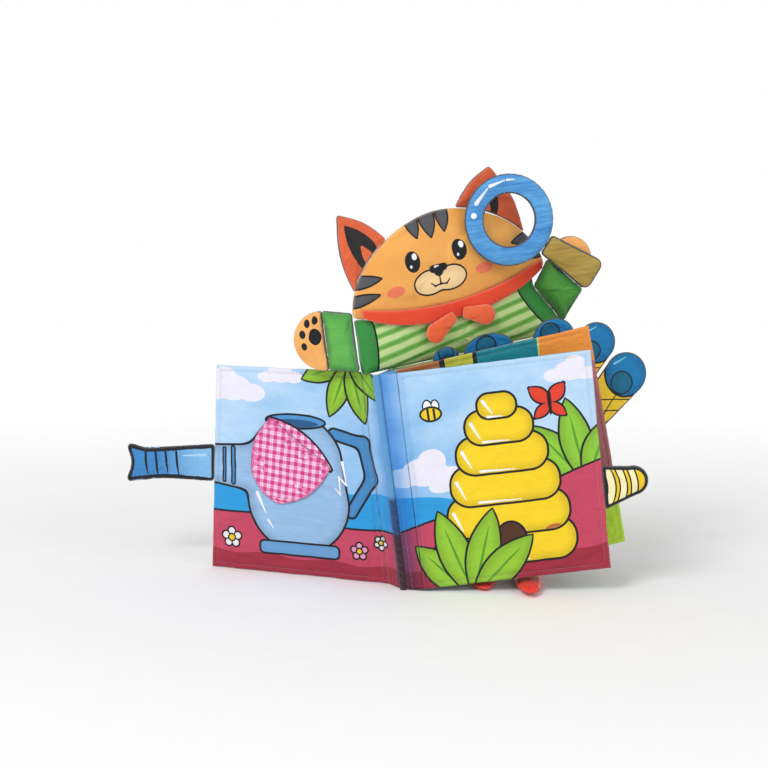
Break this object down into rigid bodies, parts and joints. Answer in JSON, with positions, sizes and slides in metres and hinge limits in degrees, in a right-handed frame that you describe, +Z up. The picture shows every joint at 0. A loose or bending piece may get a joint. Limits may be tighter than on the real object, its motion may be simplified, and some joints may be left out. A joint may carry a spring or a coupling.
{
  "type": "crinkle cloth book",
  "caption": "Padded cloth baby book that stands open like a fan, with crinkle pages, sewn tabs, a lift-up flap and a stuffed animal figure that holds a ring-shaped toy magnifier.",
  "frame": {"origin": "where the foot of the spine meets the table", "axes": "+X to the reader's right along the open leaves, +Y away from the reader, +Z up"},
  "size_m": [0.4192, 0.1175, 0.3218],
  "materials": {
    "batting": "soft white filling",
    "binding_cloth": "plain woven edge",
    "blue_cloth": "printed plain-weave cloth, matt",
    "crinkle_film": "thin translucent film",
    "deep_blue_cloth": "printed plain-weave cloth, matt",
    "ear_cloth": "printed plain-weave cloth, matt",
    "handle_cloth": "printed plain-weave cloth, matt",
    "leaf_print": "printed plain-weave cloth, matt",
    "orange_plush": "short plush",
    "pale_print": "printed plain-weave cloth, matt",
    "pink_gingham": "printed plain-weave cloth, matt",
    "red_satin": "shiny satin",
    "rose_print": "printed plain-weave cloth, matt",
    "scarf_cloth": "printed plain-weave cloth, matt",
    "sky_print": "printed plain-weave cloth, matt",
    "sleeve_cloth": "printed plain-weave cloth, matt",
    "striped_cloth": "printed plain-weave cloth, matt",
    "teal_print": "printed plain-weave cloth, matt",
    "yellow_cloth": "printed plain-weave cloth, matt"
  },
  "bodies": {
    "back_cover": {"spine_binding": "binding_cloth", "back_cover_hinge_strip": "binding_cloth", "back_cover_front_cloth": "leaf_print", "back_cover_back_cloth": "striped_cloth", "back_cover_crinkle_film": "crinkle_film", "back_cover_batting": "batting", "torso_panel": "striped_cloth", "head": "orange_plush", "left_ear": "ear_cloth", "right_ear": "ear_cloth", "scarf_band": "scarf_cloth", "scarf_tail_left": "scarf_cloth", "scarf_tail_right": "scarf_cloth", "left_foot": "red_satin", "right_foot": "red_satin"},
    "leaf_3": {"leaf_3_hinge_strip": "binding_cloth", "leaf_3_front_cloth": "leaf_print", "leaf_3_back_cloth": "teal_print", "leaf_3_crinkle_film": "crinkle_film", "leaf_3_batting": "batting", "round_tab_1": "deep_blue_cloth", "round_tab_2": "deep_blue_cloth", "round_tab_3": "deep_blue_cloth"},
    "round_tab_4": {"round_tab_4": "deep_blue_cloth"},
    "round_tab_5": {"round_tab_5": "deep_blue_cloth"},
    "leaf_2": {"leaf_2_hinge_strip": "binding_cloth", "leaf_2_front_cloth": "teal_print", "leaf_2_back_cloth": "rose_print", "leaf_2_crinkle_film": "crinkle_film", "leaf_2_batting": "batting"},
    "leaf_1": {"leaf_1_hinge_strip": "binding_cloth", "leaf_1_front_cloth": "sky_print", "leaf_1_back_cloth": "teal_print", "leaf_1_crinkle_film": "crinkle_film", "leaf_1_batting": "batting"},
    "tail_tab": {"tail_tab": "yellow_cloth"},
    "front_cover": {"front_cover_hinge_strip": "binding_cloth", "front_cover_front_cloth": "pale_print", "front_cover_back_cloth": "sky_print", "front_cover_crinkle_film": "crinkle_film", "front_cover_batting": "batting"},
    "trunk_tab": {"trunk_tab": "blue_cloth"},
    "ear_flap": {"ear_flap": "pink_gingham"},
    "left_arm": {"left_sleeve": "sleeve_cloth", "left_paw": "orange_plush"},
    "right_arm": {"right_sleeve": "sleeve_cloth", "right_paw": "orange_plush"},
    "magnifier": {"magnifier_ring": "blue_cloth", "magnifier_handle": "handle_cloth"}
  },
  "joints": [
    {"name": "leaf_3_turn", "type": "hinge", "parent": "back_cover", "child": "leaf_3", "pos_m": [0, 0, 0], "axis": [-0.1241, 0.0174, 0.9921], "range_deg": [-185, 6]},
    {"name": "leaf_2_turn", "type": "hinge", "parent": "leaf_3", "child": "leaf_2", "pos_m": [0, 0, 0], "axis": [-0.1241, 0.0174, 0.9921], "range_deg": [-185, 5]},
    {"name": "leaf_1_turn", "type": "hinge", "parent": "leaf_2", "child": "leaf_1", "pos_m": [0, 0, 0], "axis": [-0.1241, 0.0174, 0.9921], "range_deg": [-190, 6]},
    {"name": "front_cover_turn", "type": "hinge", "parent": "back_cover", "child": "front_cover", "pos_m": [0, 0, 0], "axis": [-0.1241, 0.0174, 0.9921], "range_deg": [-50, 195]},
    {"name": "ear_flap_lift", "type": "hinge", "parent": "front_cover", "child": "ear_flap", "pos_m": [-0.05692, 0.02512, 0.09071], "axis": [0.7625, -0.2597, -0.5926], "range_deg": [-150, 0]},
    {"name": "trunk_tab_flex", "type": "hinge", "parent": "front_cover", "child": "trunk_tab", "pos_m": [-0.15553, 0.06695, 0.00056], "axis": [-0.0475, 0.0449, -0.9979], "range_deg": [-70, 70], "stiffness_Nm_per_rad": 0.01},
    {"name": "tail_tab_flex", "type": "hinge", "parent": "leaf_1", "child": "tail_tab", "pos_m": [0.15941, -0.01043, 0.02063], "axis": [0.1124, -0.017, -0.9935], "range_deg": [-50, 55], "stiffness_Nm_per_rad": 0.006},
    {"name": "round_tab_4_flex", "type": "hinge", "parent": "leaf_3", "child": "round_tab_4", "pos_m": [0.15736, 0.05109, 0.02383], "axis": [-0.1297, 0.0158, 0.9914], "range_deg": [-25, 25], "stiffness_Nm_per_rad": 0.006},
    {"name": "round_tab_5_flex", "type": "hinge", "parent": "leaf_3", "child": "round_tab_5", "pos_m": [0.15736, 0.05109, 0.02383], "axis": [-0.1297, 0.0158, 0.9914], "range_deg": [-25, 25], "stiffness_Nm_per_rad": 0.008},
    {"name": "left_arm_flex", "type": "hinge", "parent": "back_cover", "child": "left_arm", "pos_m": [-0.03365, 0.00853, 0.17027], "axis": [-0.1241, 0.0174, 0.9921], "range_deg": [-20, 20], "stiffness_Nm_per_rad": 0.03},
    {"name": "right_arm_flex", "type": "hinge", "parent": "back_cover", "child": "right_arm", "pos_m": [0.1151, 0.08377, 0.21245], "axis": [-0.1241, 0.0174, 0.9921], "range_deg": [0, 30], "stiffness_Nm_per_rad": 0.08},
    {"name": "magnifier_swing", "type": "hinge", "parent": "right_arm", "child": "magnifier", "pos_m": [0.13092, 0.0611, 0.24908], "axis": [0.2052, -0.9778, 0.0429], "range_deg": [-60, 5]}
  ]
}
